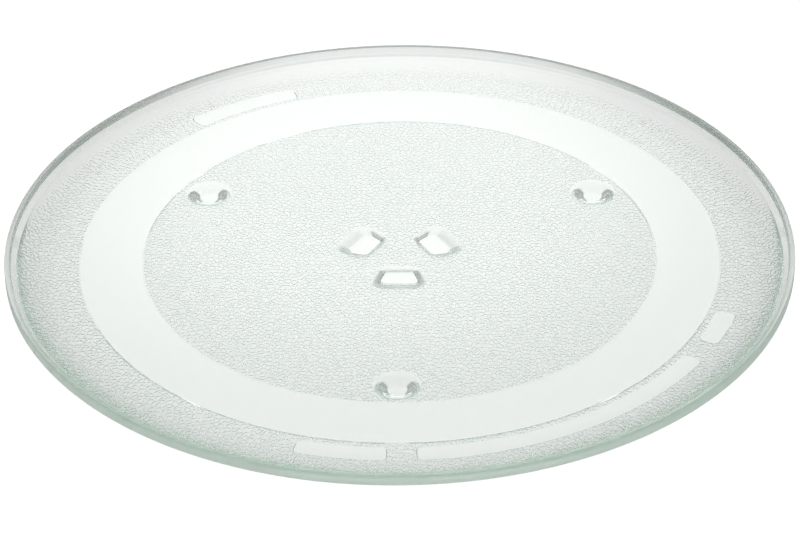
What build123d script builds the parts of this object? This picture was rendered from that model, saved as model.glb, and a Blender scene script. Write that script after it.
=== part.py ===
from build123d import *
from math import radians, tan
import os

# A clear-glass turntable plate for a microwave oven, pressed in one piece. The flat disc flares up
# underneath to a low rim that stands round the flat top. Under it are a smooth track for the rollers,
# three feet, three lugs that the drive coupler turns, and four smooth panels in the patterned outer band.
# Millimetres. The origin is the middle of the plane that the feet stand on, and +Z is up.

# Disc and rim
plate_diameter = 270.0
glass_thickness = 6.5
rim_height = 9.5  # from the flat underside to the top of the rim
rim_width = 9.0  # from where the flat underside turns up to the outer edge
edge_height = 3.9  # upright outer edge, from its foot to the top of the rim
lip_width = 1.0  # from the outer edge to the rim's inner wall
wall_width = 2.4  # from the lip to the wall's foot on the flat top
lip_outer_round = 0.7
flare_round = 12.0  # between the flat underside and the flare

# Roller track, proud of the underside
track_edge_gap = 16.5  # from the track to where the underside turns up
track_width = 21.0
track_relief = 0.4
track_bevel = 0.4  # width of the slanted step on each side

# Feet and lugs stand in the same directions
stud_count = 3
first_azimuth = -90.0

# Feet
foot_track_gap = 10.2  # from the track's inner edge to a foot's axis
foot_base_diameter = 14.0
foot_tip_diameter = 6.5
foot_height = 4.8
foot_tip_round = 0.6

# Drive lugs, each a drafted trapezoid that widens away from the centre
lug_inner_radius = 9.2
lug_length = 11.6
lug_inner_width = 12.2
lug_outer_width = 19.4
lug_height = 3.4
lug_inner_lean = 0.95  # how far each wall leans in over the lug's height
lug_side_lean = 1.5
lug_outer_lean = 4.0
lug_base_corners = (2.4, 3.6)  # inner and outer
lug_tip_corners = (1.2, 1.8)
lug_tip_round = 0.5
lug_root_round = 1.3

# Smooth panels in the outer band: first and last azimuth in degrees
panel_spans = [(-106.2, -91.4), (-86.8, -33.0), (-28.0, -18.5), (110.0, 130.5)]
panel_track_gap = 2.5
panel_width = 7.3
panel_relief = 0.3
panel_corner = 2.2

root_depth = 1.0  # how far feet, lugs and panels reach into the disc
rounding_room = 0.95  # share of a side that the roundings at its two ends may take
tolerance = 0.001

plate_radius = plate_diameter / 2
underside = foot_height
top_face = underside + glass_thickness
rim_top = underside + rim_height
edge_foot = rim_top - edge_height
flat_radius = plate_radius - rim_width
lip_radius = plate_radius - lip_width
dish_radius = lip_radius - wall_width
track_outer = flat_radius - track_edge_gap
track_inner = track_outer - track_width
track_face = underside - track_relief
foot_circle = track_inner - foot_track_gap


def rounded_outline(corners):
    """A flat face from (x, y, rounding) corners, each rounding held within the corner's two sides."""
    points = [Vector(x, y) for x, y, rounding in corners]
    radii = [rounding for x, y, rounding in corners]
    ends = range(len(corners))
    sides = [points[(i + 1) % len(points)] - points[i] for i in ends]
    cuts = [radii[i] * tan(radians(sides[i - 1].get_angle(sides[i]) / 2)) for i in ends]
    taken = [(cuts[i] + cuts[(i + 1) % len(cuts)]) / sides[i].length for i in ends]
    face = make_face(Polyline(*points, close=True).edges())
    for i in ends:
        fullest = max(taken[i - 1], taken[i])
        radius = radii[i] * min(1, rounding_room / fullest) if radii[i] else 0
        if radius:
            face = fillet(face.vertices().sort_by_distance(points[i])[0], radius)
    return face


def disc():
    """The disc, its rim and its roller track: one section turned about the axis."""
    section = rounded_outline([
        (0, underside, 0),
        (track_inner - track_bevel, underside, 0),
        (track_inner, track_face, 0),
        (track_outer, track_face, 0),
        (track_outer + track_bevel, underside, 0),
        (flat_radius, underside, flare_round),
        (plate_radius, edge_foot, 0),
        (plate_radius, rim_top, lip_outer_round),
        (lip_radius, rim_top, 0),
        (dish_radius, top_face, 0),
        (0, top_face, 0),
    ])
    return revolve(Plane.XZ * section, Axis.Z)


def foot():
    """One foot: a drafted round stud that stands on its tip."""
    base_radius = foot_base_diameter / 2
    section = rounded_outline([
        (0, 0, 0),
        (foot_tip_diameter / 2, 0, foot_tip_round),
        (base_radius, underside, 0),
        (base_radius, underside + root_depth, 0),
        (0, underside + root_depth, 0),
    ])
    return revolve(Plane.XZ * section, Axis.Z)


def lug_outline(inner, outer, inset, corners):
    """The lug's trapezoid between two radii, with its sides moved in by the inset."""
    widening = (lug_outer_width - lug_inner_width) / lug_length
    inner_corner, outer_corner = corners

    def half_width(radius):
        return (lug_inner_width + widening * (radius - lug_inner_radius)) / 2 - inset

    return rounded_outline([
        (inner, -half_width(inner), inner_corner),
        (outer, -half_width(outer), outer_corner),
        (outer, half_width(outer), outer_corner),
        (inner, half_width(inner), inner_corner),
    ]).face()


def lug():
    """One lug, its length along +X: lofted from its root inside the disc down to its tip."""
    lug_outer_radius = lug_inner_radius + lug_length
    deeper = root_depth / lug_height  # the walls keep their lean inside the disc
    root = lug_outline(
        lug_inner_radius - deeper * lug_inner_lean,
        lug_outer_radius + deeper * lug_outer_lean,
        -deeper * lug_side_lean,
        lug_base_corners,
    )
    tip = lug_outline(
        lug_inner_radius + lug_inner_lean,
        lug_outer_radius - lug_outer_lean,
        lug_side_lean,
        lug_tip_corners,
    )
    tip_height = underside - lug_height
    body = loft([Pos(0, 0, underside + root_depth) * root, Pos(0, 0, tip_height) * tip], ruled=True)
    return fillet(body.faces().sort_by(Axis.Z)[0].edges(), min(lug_tip_round, min(lug_tip_corners) / 2))


def panel(first, last):
    """One smooth panel: a curved strip with rounded corners, between two azimuths."""
    inner = track_outer + panel_track_gap
    inner_arc = CenterArc((0, 0), inner, first, last - first)
    outer_arc = CenterArc((0, 0), inner + panel_width, first, last - first)
    ends = [Line(inner_arc @ end, outer_arc @ end) for end in (0, 1)]
    strip = make_face([inner_arc, outer_arc, *ends])
    strip = fillet(strip.vertices(), min(panel_corner, rounding_room * panel_width / 2))
    return extrude(Pos(0, 0, underside - panel_relief) * strip, panel_relief + root_depth)


def lug_roots(body):
    """The edges where the lugs leave the underside: those round the axis inside the feet."""
    reach = foot_circle - foot_base_diameter / 2 - tolerance
    level = body.edges().filter_by_position(Axis.Z, underside - tolerance, underside + tolerance)
    return level.filter_by(lambda edge: edge.center(CenterOf.MASS).length < reach and edge.length < reach)


def plate():
    """The whole plate, with the lugs blended into the underside."""
    body = disc()
    for i in range(stud_count):
        turn = Rot(0, 0, first_azimuth + 360 / stud_count * i)
        body += turn * lug()
    for i in range(stud_count):
        turn = Rot(0, 0, first_azimuth + 360 / stud_count * i)
        body += turn * (Pos(foot_circle, 0, 0) * foot())
    for first, last in panel_spans:
        body += panel(first, last)
    return fillet(lug_roots(body), lug_root_round)


os.makedirs("parts", exist_ok=True)
export_step(plate(), "parts/turntable_plate.step")
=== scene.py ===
import bmesh
import bpy
import numpy as np
from mathutils import Matrix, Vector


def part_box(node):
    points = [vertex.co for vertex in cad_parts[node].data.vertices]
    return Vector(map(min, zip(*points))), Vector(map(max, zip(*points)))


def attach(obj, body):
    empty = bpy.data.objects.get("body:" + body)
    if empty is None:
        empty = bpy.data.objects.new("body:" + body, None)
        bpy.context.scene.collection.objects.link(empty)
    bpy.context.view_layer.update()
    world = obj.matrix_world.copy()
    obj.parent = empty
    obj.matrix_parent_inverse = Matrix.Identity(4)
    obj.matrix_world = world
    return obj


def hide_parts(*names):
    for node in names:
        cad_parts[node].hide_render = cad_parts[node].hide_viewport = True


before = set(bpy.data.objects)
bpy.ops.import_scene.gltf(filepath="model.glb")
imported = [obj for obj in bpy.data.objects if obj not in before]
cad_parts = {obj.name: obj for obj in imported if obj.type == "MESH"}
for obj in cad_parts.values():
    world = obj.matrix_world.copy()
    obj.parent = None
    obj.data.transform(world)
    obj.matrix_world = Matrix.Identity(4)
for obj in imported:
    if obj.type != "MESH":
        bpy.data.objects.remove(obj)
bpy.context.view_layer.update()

mm = 0.001
scene = bpy.context.scene
nodeName = "turntable_plate"
lowCorner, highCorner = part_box(nodeName)
print("frame loaded:", nodeName, "box", [round(size / mm, 2) for size in highCorner - lowCorner], "mm")


# The plate in mm. Its radius and height come from the frame.
plate = {
    "radius": (highCorner.x - lowCorner.x) / 2 / mm,
    "height": (highCorner.z - lowCorner.z) / mm,
    "thickness": 6.5,
    "rimHeight": 9.5,         # rim top over the underside
    "section": [              # rim corners: in from the plate's radius, up from the underside, rounding
        (7.2, 0.0, 15.0),     # the flare leaves the underside
        (1.8, 4.9, 1.5),      # the flare ends in a nearly level flange
        (0.0, 5.6, 0.4),      # foot of the outer edge
        (0.0, 9.5, 0.35),     # lip, outside
        (1.6, 9.5, 0.35),     # lip, inside
        (3.8, 6.5, 0.6),      # foot of the inner wall
    ],
    "flatUnder": 8.0,         # flat underside that is turned with the rim, inside the first corner
    "flatTop": 5.0,           # flat top that is turned with the rim, inside the last corner
    "topRings": (0.75, 0.5, 0.25, 0.08, 0.004),   # more rings on the flat top, as shares of the last corner
    "trackOuter": 109.5,
    "trackInner": 88.5,
    "trackRelief": 0.3,
    "trackBevel": 0.9,
    "collar": 0.4,            # flat ground that goes with a step, on both sides
    "stepRound": 0.12,        # rounding of the track's and the panels' step
    "around": 512,            # points round the rim
    "rimArc": 12,             # quads in a rounding of the rim
    "stepArc": 3,             # quads in a rounding of a step
}
underside = plate["height"] - plate["rimHeight"]
topFace = underside + plate["thickness"]
trackOuter = plate["trackOuter"]
trackInner = plate["trackInner"]
trackFace = underside - plate["trackRelief"]

strips = {"points": [], "quads": [], "count": 0}


# Rounded corner: a circular arc tangent to the two sides that meet at the corner.
def cornerArc(before, corner, after, radius, steps):
    towards = (before - corner) / np.linalg.norm(before - corner)
    away = (after - corner) / np.linalg.norm(after - corner)
    half = np.arccos(np.clip(towards @ away, -1, 1)) / 2
    middle = (towards + away) / np.linalg.norm(towards + away)
    centre = corner + middle * radius / np.sin(half)
    first = corner + towards * radius / np.tan(half) - centre
    last = corner + away * radius / np.tan(half) - centre
    share = np.linspace(0, 1, steps + 1)[:, None]
    sweep = np.pi - 2 * half
    return centre + (np.sin((1 - share) * sweep) * first + np.sin(share * sweep) * last) / np.sin(sweep)


# Open profile: straight sides between its two ends, each corner on the way an arc.
def roundedProfile(corners, steps):
    points = np.array([corner[:2] for corner in corners], float)
    rows = [points[:1]]
    for i in range(1, len(corners) - 1):
        rows.append(cornerArc(points[i - 1], points[i], points[i + 1], corners[i][2], steps))
    return np.vstack(rows + [points[-1:]])


# Closed loop: the same corners and arcs, with evenly spaced points along each side.
def roundedLoop(corners, radii, sideSteps, arcSteps):
    corners = np.asarray(corners, float)
    count = len(corners)
    arcs = []
    for i in range(count):
        arcs.append(cornerArc(corners[i - 1], corners[i], corners[(i + 1) % count], radii[i], arcSteps))
    rows = []
    for i, arc in enumerate(arcs):
        share = np.linspace(0, 1, sideSteps[i] + 1)[1:-1, None]
        rows += [arc, arc[-1] + share * (arcs[(i + 1) % count][0] - arc[-1])]
    return np.vstack(rows)


# A strip: rows of closed loops, each joined to the next by quads.
def addStrip(points):
    rows, around = points.shape[:2]
    index = np.arange(rows * around).reshape(rows, around) + strips["count"]
    beside = np.roll(index, -1, 1)
    strips["quads"].append(np.stack([index[:-1], beside[:-1], beside[1:], index[1:]], -1).reshape(-1, 4))
    strips["points"].append(points.reshape(-1, 3))
    strips["count"] += rows * around


# Loops at their heights: row by row, a flat loop's x and y with the row's height as z.
def addLoops(flat, heights):
    addStrip(np.concatenate([flat, np.broadcast_to(heights[:, None, None], flat.shape[:2] + (1,))], -1))


# A profile turned about the axis: radius and height become x, y, z at each azimuth.
def turned(profile):
    azimuth = np.linspace(0, 2 * np.pi, plate["around"], endpoint=False)
    radius, height = profile[:, :1], profile[:, 1:]
    return np.stack(np.broadcast_arrays(radius * np.cos(azimuth), radius * np.sin(azimuth), height), -1)


# Rim: its section turned about the axis, with the flat ground on both sides and rings across the flat top.
def addRim():
    radius = plate["radius"]
    section = [(radius - inward, underside + up, rounding) for inward, up, rounding in plate["section"]]
    start = (section[0][0] - plate["flatUnder"], underside, 0)
    wallFoot = section[-1][0]
    end = (wallFoot - plate["flatTop"], topFace, 0)
    rim = roundedProfile([start, *section, end], plate["rimArc"])
    rings = np.array(plate["topRings"])[:, None] * wallFoot
    top = np.hstack([rings, np.full_like(rings, topFace)])
    addStrip(turned(np.vstack([rim, top])))


# Track steps: from the track's face up a slant to the underside, turned about the axis at both its edges.
def addTrackSteps():
    collar, bevel, rounding = plate["collar"], plate["trackBevel"], plate["stepRound"]
    for edge, outward in ((trackInner, -1), (trackOuter, 1)):
        addStrip(turned(roundedProfile([
            (edge - outward * collar, trackFace, 0),
            (edge, trackFace, rounding),
            (edge + outward * bevel, underside, rounding),
            (edge + outward * (bevel + collar), underside, 0),
        ], plate["stepArc"])))


studs = {
    "count": 3,
    "firstAzimuth": -90.0,    # degrees
    "collar": 0.3,            # mm: flat ground that goes with a stud, at its tip and at its root
    "curveSteps": 5,          # quads in a rounding
    "wallSteps": 4,           # quads up a wall
}


# A stud standing down from the underside. Its rows are (lean, inset, height): lean 1 is the tip's outline
# and 0 the root's, and the inset moves an outline in. Both ends are rounded by quadratic curves.
def studRows(height, tipRound, rootRound):
    share = np.linspace(0, 1, studs["curveSteps"] + 1)[:, None]
    tip, root = underside - height, underside
    tipPart, rootPart = tipRound / height, rootRound / height

    def curve(*rows):
        first, middle, last = np.array(rows, float)
        return (1 - share) ** 2 * first + 2 * share * (1 - share) * middle + share ** 2 * last

    tipCurve = curve((1, tipRound, tip), (1, 0, tip), (1 - tipPart, 0, tip + tipRound))
    rootCurve = curve((rootPart, 0, root - rootRound), (0, 0, root), (0, -rootRound, root))
    up = np.linspace(0, 1, studs["wallSteps"] + 1)[1:-1, None]
    wall = tipCurve[-1] + up * (rootCurve[0] - tipCurve[-1])
    tipFlat = [(1, tipRound + studs["collar"], tip)]
    rootFlat = [(0, -rootRound - studs["collar"], root)]
    return np.vstack([tipFlat, tipCurve, wall, rootCurve, rootFlat])


# Each stud is made once along +X and turned to each azimuth about the plate's axis.
def addStuds(loopAt, rows):
    for i in range(studs["count"]):
        azimuth = np.radians(studs["firstAzimuth"] + 360 / studs["count"] * i)
        turn = np.array([[np.cos(azimuth), np.sin(azimuth)], [-np.sin(azimuth), np.cos(azimuth)]])
        addLoops(np.stack([loopAt(lean, inset) @ turn for lean, inset in rows[:, :2]]), rows[:, 2])


feet = {
    "trackGap": 10.2,         # mm from the track's inner edge to a foot's axis
    "baseDiameter": 14.0,
    "tipDiameter": 6.5,
    "height": underside,
    "tipRound": 0.6,
    "rootRound": 1.5,
    "around": 96,             # points round a foot
}


# Foot outline: a circle whose radius runs from the root's to the tip's with the lean.
def footLoop(lean, inset):
    turn = np.linspace(0, 2 * np.pi, feet["around"], endpoint=False)
    radius = (feet["baseDiameter"] + lean * (feet["tipDiameter"] - feet["baseDiameter"])) / 2 - inset
    centre = trackInner - feet["trackGap"]
    return np.stack([centre + radius * np.cos(turn), radius * np.sin(turn)], -1)


lugs = {
    "innerRadius": 9.2,
    "length": 11.6,
    "innerWidth": 12.2,
    "outerWidth": 19.4,
    "height": 3.4,
    "innerLean": 0.95,
    "sideLean": 1.5,
    "outerLean": 4.0,
    "baseCorners": (2.4, 3.6),    # inner, outer
    "tipCorners": (1.2, 1.8),
    "cornerInset": 0.7,       # share of an inset that comes off a corner's rounding
    "tipRound": 0.5,
    "rootRound": 1.3,
    "sideSteps": (16, 20, 16, 20),
    "arcSteps": 12,
}


# Lug outline: a rounded trapezoid that widens away from the centre; each wall leans in by its own amount.
def lugLoop(lean, inset):
    widening = (lugs["outerWidth"] - lugs["innerWidth"]) / lugs["length"] / 2
    start = lugs["innerRadius"]
    inner = start + lean * lugs["innerLean"] + inset
    outer = start + lugs["length"] - lean * lugs["outerLean"] - inset
    narrow = lugs["innerWidth"] / 2 + widening * (inner - start) - lean * lugs["sideLean"] - inset
    wide = narrow + widening * (outer - inner)
    base, tip = np.array(lugs["baseCorners"]), np.array(lugs["tipCorners"])
    near, far = base + lean * (tip - base) - inset * lugs["cornerInset"]
    corners = [(inner, -narrow), (outer, -wide), (outer, wide), (inner, narrow)]
    return roundedLoop(corners, [near, far, far, near], lugs["sideSteps"], lugs["arcSteps"])


panels = {
    "spans": [(-106.2, -91.4), (-86.8, -33.0), (-28.0, -18.5), (110.0, 130.5)],   # degrees
    "trackGap": 2.5,
    "width": 7.3,
    "relief": 0.3,
    "bevel": 0.3,             # width of the slanted step
    "corner": 2.2,
    "spacing": 1.2,           # mm between points along a panel
    "endSteps": 6,
    "arcSteps": 10,
}


# Panel outline: a rounded rectangle of arc length by radius, wrapped round the axis.
def panelLoop(first, last, inset):
    inner = trackOuter + panels["trackGap"]
    middle = inner + panels["width"] / 2
    length = np.radians(last - first) * middle
    near, far = inner + inset, inner + panels["width"] - inset
    corners = [(inset, near), (length - inset, near), (length - inset, far), (inset, far)]
    along = int(length / panels["spacing"]) + 2
    sideSteps = [along, panels["endSteps"], along, panels["endSteps"]]
    loop = roundedLoop(corners, [panels["corner"] - inset] * 4, sideSteps, panels["arcSteps"])
    azimuth = np.radians(first) + loop[:, 0] / middle
    return np.stack([loop[:, 1] * np.cos(azimuth), loop[:, 1] * np.sin(azimuth)], -1)


# Panels: the outline carried up a slanted step, from the panel's face to the underside.
def addPanels():
    low, bevel, rounding = underside - panels["relief"], panels["bevel"], plate["stepRound"]
    step = roundedProfile([
        (bevel + plate["collar"], low, 0),
        (bevel, low, rounding),
        (0.0, underside, rounding),
        (-plate["collar"], underside, 0),
    ], plate["stepArc"])
    for first, last in panels["spans"]:
        addLoops(np.stack([panelLoop(first, last, inset) for inset in step[:, 0]]), step[:, 1])


# The flat faces are filled between the open loops that bound them: same height, same side of the track.
def fillFlats(mesh):
    shape = bmesh.new()
    shape.from_mesh(mesh)
    trackMiddle = (trackInner + trackOuter) / 2
    groups = {}
    for edge in shape.edges:
        if edge.is_boundary:
            point = edge.verts[0].co / mm
            onTrack = abs(point.z - trackFace) < 0.001
            outside = point.xy.length > trackMiddle and not onTrack
            groups.setdefault((round(point.z, 3), outside), []).append(edge)
    for key in sorted(groups):
        bmesh.ops.triangle_fill(shape, edges=groups[key], use_beauty=True, use_dissolve=False)
    bmesh.ops.recalc_face_normals(shape, faces=shape.faces)
    openEdges = sum(not edge.is_manifold for edge in shape.edges)
    volume = shape.calc_volume() / (10 * mm) ** 3
    print("flat faces filled:", len(groups), "open edges:", openEdges, "volume cm3:", volume)
    shape.to_mesh(mesh)
    shape.free()


# The plate's skin: all strips in one mesh, its flat faces filled, shaded smooth.
def plateMesh():
    addRim()
    addTrackSteps()
    addStuds(footLoop, studRows(feet["height"], feet["tipRound"], feet["rootRound"]))
    addStuds(lugLoop, studRows(lugs["height"], lugs["tipRound"], lugs["rootRound"]))
    addPanels()
    mesh = bpy.data.meshes.new("glass_plate")
    mesh.from_pydata((np.vstack(strips["points"]) * mm).tolist(), [], np.vstack(strips["quads"]).tolist())
    fillFlats(mesh)
    mesh.polygons.foreach_set("use_smooth", np.ones(len(mesh.polygons), bool))
    triangles = sum(len(face.vertices) - 2 for face in mesh.polygons)
    print("plate:", len(mesh.vertices), "points,", triangles, "triangles")
    return mesh


glassPlate = bpy.data.objects.new("glass_plate", plateMesh())
scene.collection.objects.link(glassPlate)


# sRGB hex to linear
def linear(hexColour):
    value = np.array([int(hexColour[i:i + 2], 16) for i in (1, 3, 5)]) / 255
    return (*np.where(value <= 0.04045, value / 12.92, ((value + 0.055) / 1.055) ** 2.4), 1.0)


# One node with its settings and links: inputs are values or the sockets they come from.
def addNode(tree, kind, inputs=None, **settings):
    node = tree.nodes.new(kind)
    for name, value in settings.items():
        setattr(node, name, value)
    for name, value in (inputs or {}).items():
        if isinstance(value, bpy.types.NodeSocket):
            tree.links.new(value, node.inputs[name])
        else:
            node.inputs[name].default_value = value
    return node


glass = {
    "ior": 1.52,
    "cast": "#fcfffd",        # what each way in and out takes
    "tint": "#bcdcc8",        # what a long way through the glass looks like
    "tintDensity": 5.5,
    "pebbleSize": 1.95,       # mm
    "grooveWidth": 0.26,      # share of a pebble's size, from the bottom of a groove to its edge
    "pebbleDepth": 0.125,     # mm
    "pebbleRoughness": 0.3,   # the pebbles are finely ribbed themselves
    "smoothFade": (0.12, 0.02),   # mm below the underside: track, panels, feet and lugs have no pebbles
    "flareFade": (0.4, 3.2),  # mm above the underside, where the pebbles run out on the flare
    "lugReach": 25.0,         # mm from the axis, past the lugs and short of the feet
    "lugFade": (2.9, 2.5),    # mm below the underside, where a lug's smooth tip gives way to its flanks
    "lugRoughness": 0.45,     # the flanks are dull
    "edgeFade": (132.4, 133.4),   # mm from the axis
    "edgeRoughness": 0.35,    # the mould leaves the lip and the outer edge a little dull
}


# Pressed soda-lime glass: clear, with a green cast where the eye looks a long way through it,
# and pebbles pressed into the underside, whose grooves break the view into small squiggles.
def pressedGlass():
    material = bpy.data.materials.new("pressed_soda_lime_glass")
    material.use_nodes = True
    tree = material.node_tree
    tree.nodes.clear()
    place = addNode(tree, "ShaderNodeTexCoord").outputs["Object"]
    height = addNode(tree, "ShaderNodeSeparateXYZ", {0: place}).outputs["Z"]
    flatPlace = addNode(tree, "ShaderNodeVectorMath", {0: place, 1: (1, 1, 0)}, operation="MULTIPLY")
    length = addNode(tree, "ShaderNodeVectorMath", {0: flatPlace.outputs[0]}, operation="LENGTH")
    radius = length.outputs["Value"]

    cells = addNode(tree, "ShaderNodeTexVoronoi", {
        "Vector": place, "Scale": 1 / (glass["pebbleSize"] * mm)},
        feature="DISTANCE_TO_EDGE", voronoi_dimensions="2D")
    pebbles = addNode(tree, "ShaderNodeMapRange", {
        "Value": cells.outputs["Distance"], "From Min": 0.0, "From Max": glass["grooveWidth"]},
        interpolation_type="SMOOTHSTEP")
    fadeStart, fadeEnd = glass["smoothFade"]
    below = addNode(tree, "ShaderNodeMapRange", {
        "Value": height, "From Min": (underside - fadeStart) * mm, "From Max": (underside - fadeEnd) * mm})
    fadeStart, fadeEnd = glass["flareFade"]
    above = addNode(tree, "ShaderNodeMapRange", {
        "Value": height, "From Min": (underside + fadeStart) * mm, "From Max": (underside + fadeEnd) * mm,
        "To Min": 1.0, "To Max": 0.0})
    where = addNode(tree, "ShaderNodeMath", {0: below.outputs[0], 1: above.outputs[0]}, operation="MULTIPLY")
    bump = addNode(tree, "ShaderNodeBump", {
        "Strength": where.outputs[0], "Distance": glass["pebbleDepth"] * mm, "Height": pebbles.outputs[0]})

    # Roughness: the outer edge's, plus the lug flanks', plus the pebbles'
    fadeStart, fadeEnd = glass["edgeFade"]
    edgeDull = addNode(tree, "ShaderNodeMapRange", {
        "Value": radius, "From Min": fadeStart * mm, "From Max": fadeEnd * mm,
        "To Min": 0.0, "To Max": glass["edgeRoughness"]})
    fadeStart, fadeEnd = glass["lugFade"]
    flank = addNode(tree, "ShaderNodeMapRange", {
        "Value": height, "From Min": (underside - fadeStart) * mm, "From Max": (underside - fadeEnd) * mm,
        "To Min": 0.0, "To Max": glass["lugRoughness"]})
    central = addNode(tree, "ShaderNodeMath", {0: radius, 1: glass["lugReach"] * mm}, operation="LESS_THAN")
    onLugs = addNode(tree, "ShaderNodeMath", {
        0: central.outputs[0], 1: below.outputs[0]}, operation="SUBTRACT", use_clamp=True)
    lugDull = addNode(tree, "ShaderNodeMath", {
        0: flank.outputs[0], 1: onLugs.outputs[0], 2: edgeDull.outputs[0]}, operation="MULTIPLY_ADD")
    rough = addNode(tree, "ShaderNodeMath", {
        0: where.outputs[0], 1: glass["pebbleRoughness"], 2: lugDull.outputs[0]}, operation="MULTIPLY_ADD")

    surface = addNode(tree, "ShaderNodeBsdfPrincipled", {
        "Base Color": linear(glass["cast"]), "Roughness": rough.outputs[0], "IOR": glass["ior"],
        "Transmission Weight": 1.0, "Normal": bump.outputs[0]})
    tint = addNode(tree, "ShaderNodeVolumeAbsorption", {
        "Color": linear(glass["tint"]), "Density": glass["tintDensity"]})
    addNode(tree, "ShaderNodeOutputMaterial", {"Surface": surface.outputs[0], "Volume": tint.outputs[0]})
    return material


glassPlate.data.materials.append(pressedGlass())
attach(glassPlate, "root")
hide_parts(nodeName)
print("glass on the plate")


paper = {
    "size": 6.0,                  # metres
    "drop": 0.1,                  # mm under the feet
    "colour": "#a2a2a2",
    "roughness": 0.9,
    "bareLift": 0.86,             # white added where the eye sees the bare floor
    "poolCentre": (-8.0, 45.0),   # mm: where the painted pool of light under the glass is brightest
    "poolReach": (45.0, 140.0),   # mm from there, over which it falls off
    "poolLift": (0.82, 0.625),    # painted light: white added where the glass shows the floor, near and far
    "shade": 0.3,                 # share of that white that the rim's painted shade takes
    "shadeCentre": (0.0, 9.0),    # mm: the glass shows the floor a little further back
    "shadeReach": (114.0, 134.0),     # mm from there, over which the painted shade begins
    "shadeEnd": (105.0, 140.0),   # mm behind the axis, over which the painted shade fades out towards the back
}


# White paper floor: it takes the plate's shadow, and is lifted to white where the eye or the glass sees it.
# Under the glass the lift is a painted pool of light that falls off with the distance from its middle,
# and it is darkened again by a painted shade round the rim.
def paperFloor():
    material = bpy.data.materials.new("white_paper")
    material.use_nodes = True
    tree = material.node_tree
    tree.nodes.clear()
    place = addNode(tree, "ShaderNodeNewGeometry").outputs["Position"]

    def distanceFrom(centre):
        point = (centre[0] * mm, centre[1] * mm, lowCorner.z)
        away = addNode(tree, "ShaderNodeVectorMath", {0: place, 1: point}, operation="DISTANCE")
        return away.outputs["Value"]

    # Painted pool of light: the lift that the glass sees falls off from the pool's middle.
    (start, end), (bright, dim) = paper["poolReach"], paper["poolLift"]
    pool = addNode(tree, "ShaderNodeMapRange", {
        "Value": distanceFrom(paper["poolCentre"]), "From Min": start * mm, "From Max": end * mm,
        "To Min": bright, "To Max": dim}, interpolation_type="SMOOTHSTEP")
    # Painted shade round the rim, which fades out towards the back.
    start, end = paper["shadeEnd"]
    behind = addNode(tree, "ShaderNodeSeparateXYZ", {0: place}).outputs["Y"]
    deepestPaintedShade = addNode(tree, "ShaderNodeMapRange", {
        "Value": behind, "From Min": start * mm, "From Max": end * mm,
        "To Min": 1.0 - paper["shade"], "To Max": 1.0}, interpolation_type="SMOOTHSTEP")
    start, end = paper["shadeReach"]
    shaded = addNode(tree, "ShaderNodeMapRange", {
        "Value": distanceFrom(paper["shadeCentre"]), "From Min": start * mm, "From Max": end * mm,
        "To Min": 1.0, "To Max": deepestPaintedShade.outputs[0]}, interpolation_type="SMOOTHSTEP")
    under = addNode(tree, "ShaderNodeMath", {0: pool.outputs[0], 1: shaded.outputs[0]}, operation="MULTIPLY")

    path = addNode(tree, "ShaderNodeLightPath").outputs
    through = addNode(tree, "ShaderNodeMath", {
        0: path["Is Glossy Ray"], 1: path["Is Transmission Ray"]}, operation="MAXIMUM")
    bare = addNode(tree, "ShaderNodeMath", {
        0: path["Is Camera Ray"], 1: paper["bareLift"]}, operation="MULTIPLY")
    lift = addNode(tree, "ShaderNodeMath", {
        0: through.outputs[0], 1: under.outputs[0], 2: bare.outputs[0]}, operation="MULTIPLY_ADD")
    surface = addNode(tree, "ShaderNodeBsdfPrincipled", {
        "Base Color": linear(paper["colour"]), "Roughness": paper["roughness"], "Specular IOR Level": 0.0,
        "Emission Color": (1, 1, 1, 1), "Emission Strength": lift.outputs[0]})
    addNode(tree, "ShaderNodeOutputMaterial", {"Surface": surface.outputs[0]})
    return material


# Floor: one square, just under the feet.
def addFloor():
    half = paper["size"] / 2
    corners = [(-half, -half, 0), (half, -half, 0), (half, half, 0), (-half, half, 0)]
    mesh = bpy.data.meshes.new("paper_floor")
    mesh.from_pydata(corners, [], [(0, 1, 2, 3)])
    mesh.materials.append(paperFloor())
    floor = bpy.data.objects.new("paper_floor", mesh)
    scene.collection.objects.link(floor)
    floor.location.z = lowCorner.z - paper["drop"] * mm


light = {
    "wallStrength": (0.37, 1.3),  # the room, and the wall behind
    "wallEdge": (0.25, 0.6),      # how far a direction points behind, where the wall begins
    "boxSize": (1.1, 1.1),        # metres
    "boxHeight": 1.1,             # metres
    "boxWatts": 2.9,
    "bounces": 20,                # light runs a long way inside the glass
}


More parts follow.
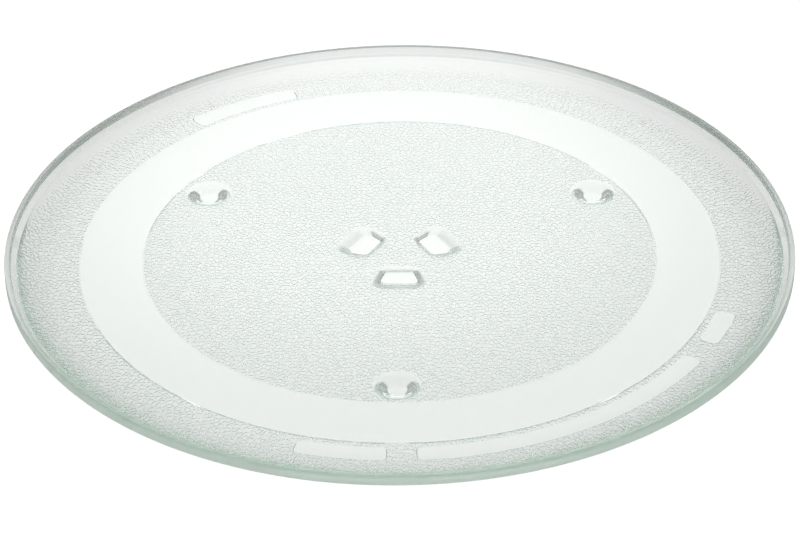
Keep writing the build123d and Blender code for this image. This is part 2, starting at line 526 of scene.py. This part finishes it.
# Studio light: a soft box overhead and a large bright wall behind, in a dimmer room. The light rises
# from the room's to the wall's with how far a direction points behind.
def addLight():
    world = bpy.data.worlds.new("studio")
    scene.world = world
    world.use_nodes = True
    tree = world.node_tree
    tree.nodes.clear()
    direction = addNode(tree, "ShaderNodeTexCoord").outputs["Generated"]
    behind = addNode(tree, "ShaderNodeSeparateXYZ", {0: direction}).outputs["Y"]
    (start, end), (room, wall) = light["wallEdge"], light["wallStrength"]
    level = addNode(tree, "ShaderNodeMapRange", {
        "Value": behind, "From Min": start, "From Max": end, "To Min": room, "To Max": wall},
        interpolation_type="SMOOTHSTEP")
    sky = addNode(tree, "ShaderNodeBackground", {"Color": (1, 1, 1, 1), "Strength": level.outputs[0]})
    addNode(tree, "ShaderNodeOutputWorld", {"Surface": sky.outputs[0]})
    lamp = bpy.data.lights.new("soft_box", "AREA")
    lamp.shape = "RECTANGLE"
    lamp.energy = light["boxWatts"]
    lamp.size, lamp.size_y = light["boxSize"]
    box = bpy.data.objects.new("soft_box", lamp)
    box.location.z = light["boxHeight"]
    scene.collection.objects.link(box)
    scene.cycles.max_bounces = light["bounces"]
    scene.cycles.glossy_bounces = light["bounces"]
    scene.cycles.transmission_bounces = light["bounces"]


# The photograph's view: pixel units are those of an 800 by 533 picture.
view = {
    "imageWidth": 800,
    "focalPixels": 3398.9,
    "sensorWidth": 36.0,
    "elevation": 33.268,      # degrees
    "azimuth": 0.96,          # degrees
    "roll": -0.733,           # degrees
    "distance": 1171.395,     # mm
    "target": (0.07, 3.15),   # mm: sideways, and up from the floor
}


# Camera: backed away from the target, tilted by the elevation and roll, and turned about the axis.
def addCamera():
    elevation, azimuth, roll = (np.radians(view[name]) for name in ("elevation", "azimuth", "roll"))
    sideways, up = view["target"]
    turn = Matrix.Rotation(azimuth, 4, "Z")
    target = Matrix.Translation((sideways * mm, 0, up * mm))
    aim = Matrix.Rotation(np.pi / 2 - elevation, 4, "X") @ Matrix.Rotation(roll, 4, "Z")
    distance = Matrix.Translation((0, 0, view["distance"] * mm))
    camera = bpy.data.cameras.new("camera")
    camera.sensor_width = view["sensorWidth"]
    camera.lens = view["focalPixels"] / view["imageWidth"] * view["sensorWidth"]
    holder = bpy.data.objects.new("camera", camera)
    holder.matrix_world = turn @ target @ aim @ distance
    scene.collection.objects.link(holder)
    scene.camera = holder


addFloor()
addLight()
addCamera()
scene.view_settings.view_transform = "Standard"
print("studio ready")

bpy.context.view_layer.update()
